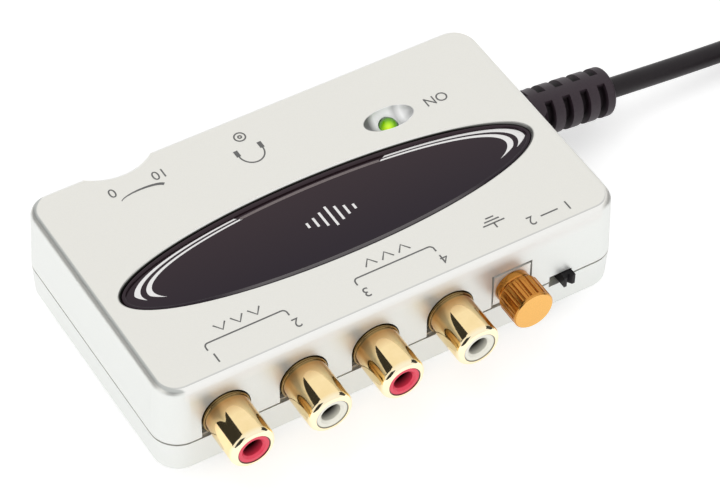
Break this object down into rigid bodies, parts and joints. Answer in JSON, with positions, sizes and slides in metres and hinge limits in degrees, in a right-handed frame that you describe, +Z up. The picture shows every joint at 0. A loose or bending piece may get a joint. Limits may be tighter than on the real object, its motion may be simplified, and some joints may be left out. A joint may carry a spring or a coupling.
{
  "type": "usb audio interface",
  "caption": "Small silver USB audio interface box with gold RCA sockets, a ground thumb screw, a slide switch, a headphone socket, a volume wheel and a captive USB lead.",
  "frame": {"origin": "under the middle of the object without its lead, on the surface its feet stand on", "axes": "+X along the case to the end with the USB lead, +Y to the back with the headphone socket, +Z up"},
  "size_m": [0.1945, 0.0701, 0.022],
  "materials": {
    "case_silver": "satin silver-white",
    "badge_black": "gloss",
    "foot_rubber": "matte",
    "screw_steel": "satin",
    "board_green": "solder mask gloss",
    "chip_black": "matte",
    "can_aluminium": "satin",
    "lamp_green": "clear tinted gloss",
    "tin_plate": "satin",
    "housing_black": "matte",
    "nickel": "bright",
    "terminal_brass": "satin",
    "slider_black": "matte",
    "wheel_grey": "matte",
    "header_white": "matte",
    "wire_jacket": "satin",
    "cable_black": "satin",
    "tie_fabric": "woven",
    "plug_black": "satin",
    "plug_steel": "satin",
    "contact_gold": "gold plated, bright",
    "insulator_red": "gloss",
    "insulator_white": "gloss"
  },
  "bodies": {
    "case": {"top_cover": "case_silver", "bottom_shell": "case_silver", "badge_plate": "badge_black", "rubber_feet": "foot_rubber", "case_screws": "screw_steel", "main_board": "board_green", "board_screws": "screw_steel", "codec_chip": "chip_black", "amplifier_chip": "chip_black", "voltage_regulator": "chip_black", "crystal": "screw_steel", "capacitor_cans": "can_aluminium", "lamp_lens": "lamp_green", "lamp_leads": "tin_plate", "rca_housing_output": "housing_black", "rca_housing_input": "housing_black", "ground_plate": "nickel", "ground_nut": "nickel", "switch_housing": "nickel", "switch_pins": "tin_plate", "headphone_body": "housing_black", "headphone_bush": "nickel", "headphone_contacts": "tin_plate", "volume_control": "housing_black", "volume_pins": "tin_plate", "usb_header": "header_white", "usb_wires": "wire_jacket", "usb_strain_relief": "cable_black", "usb_cable": "cable_black", "usb_cable_coil": "cable_black", "cable_tie": "tie_fabric", "usb_plug_overmould": "plug_black", "usb_plug_shell": "plug_steel", "usb_plug_tongue": "header_white", "usb_plug_contacts": "contact_gold", "rca_barrel_1": "contact_gold", "rca_insulator_1": "insulator_red", "rca_contact_1": "tin_plate", "rca_barrel_2": "contact_gold", "rca_insulator_2": "insulator_white", "rca_contact_2": "tin_plate", "rca_barrel_3": "contact_gold", "rca_insulator_3": "insulator_red", "rca_contact_3": "tin_plate", "rca_barrel_4": "contact_gold", "rca_insulator_4": "insulator_white", "rca_contact_4": "tin_plate"},
    "volume": {"volume_wheel": "wheel_grey", "volume_shaft": "tin_plate", "volume_screw": "screw_steel"},
    "switch": {"switch_slider": "slider_black"},
    "ground_washer": {"ground_washer": "terminal_brass"},
    "ground_screw": {"ground_screw": "terminal_brass"}
  },
  "joints": [
    {"name": "volume_turn", "type": "hinge", "parent": "case", "child": "volume", "pos_m": [-0.0257, 0.021, 0.0117], "axis": [0, 0, 1], "range_deg": [-140, 140]},
    {"name": "switch_slide", "type": "slide", "parent": "case", "child": "switch", "axis": [1, 0, 0], "range_m": [-0.002, 0]},
    {"name": "ground_travel", "type": "slide", "parent": "case", "child": "ground_washer", "axis": [0, -1, 0], "range_m": [0, 0.00175]},
    {"name": "ground_turn", "type": "hinge", "parent": "ground_washer", "child": "ground_screw", "pos_m": [0.022, -0.0211, 0.0132], "axis": [0, -1, 0], "range_deg": [0, 900]}
  ],
  "couplings": [
    {"joint": "ground_turn", "follows": "ground_travel", "rad_per_m": 8976}
  ]
}
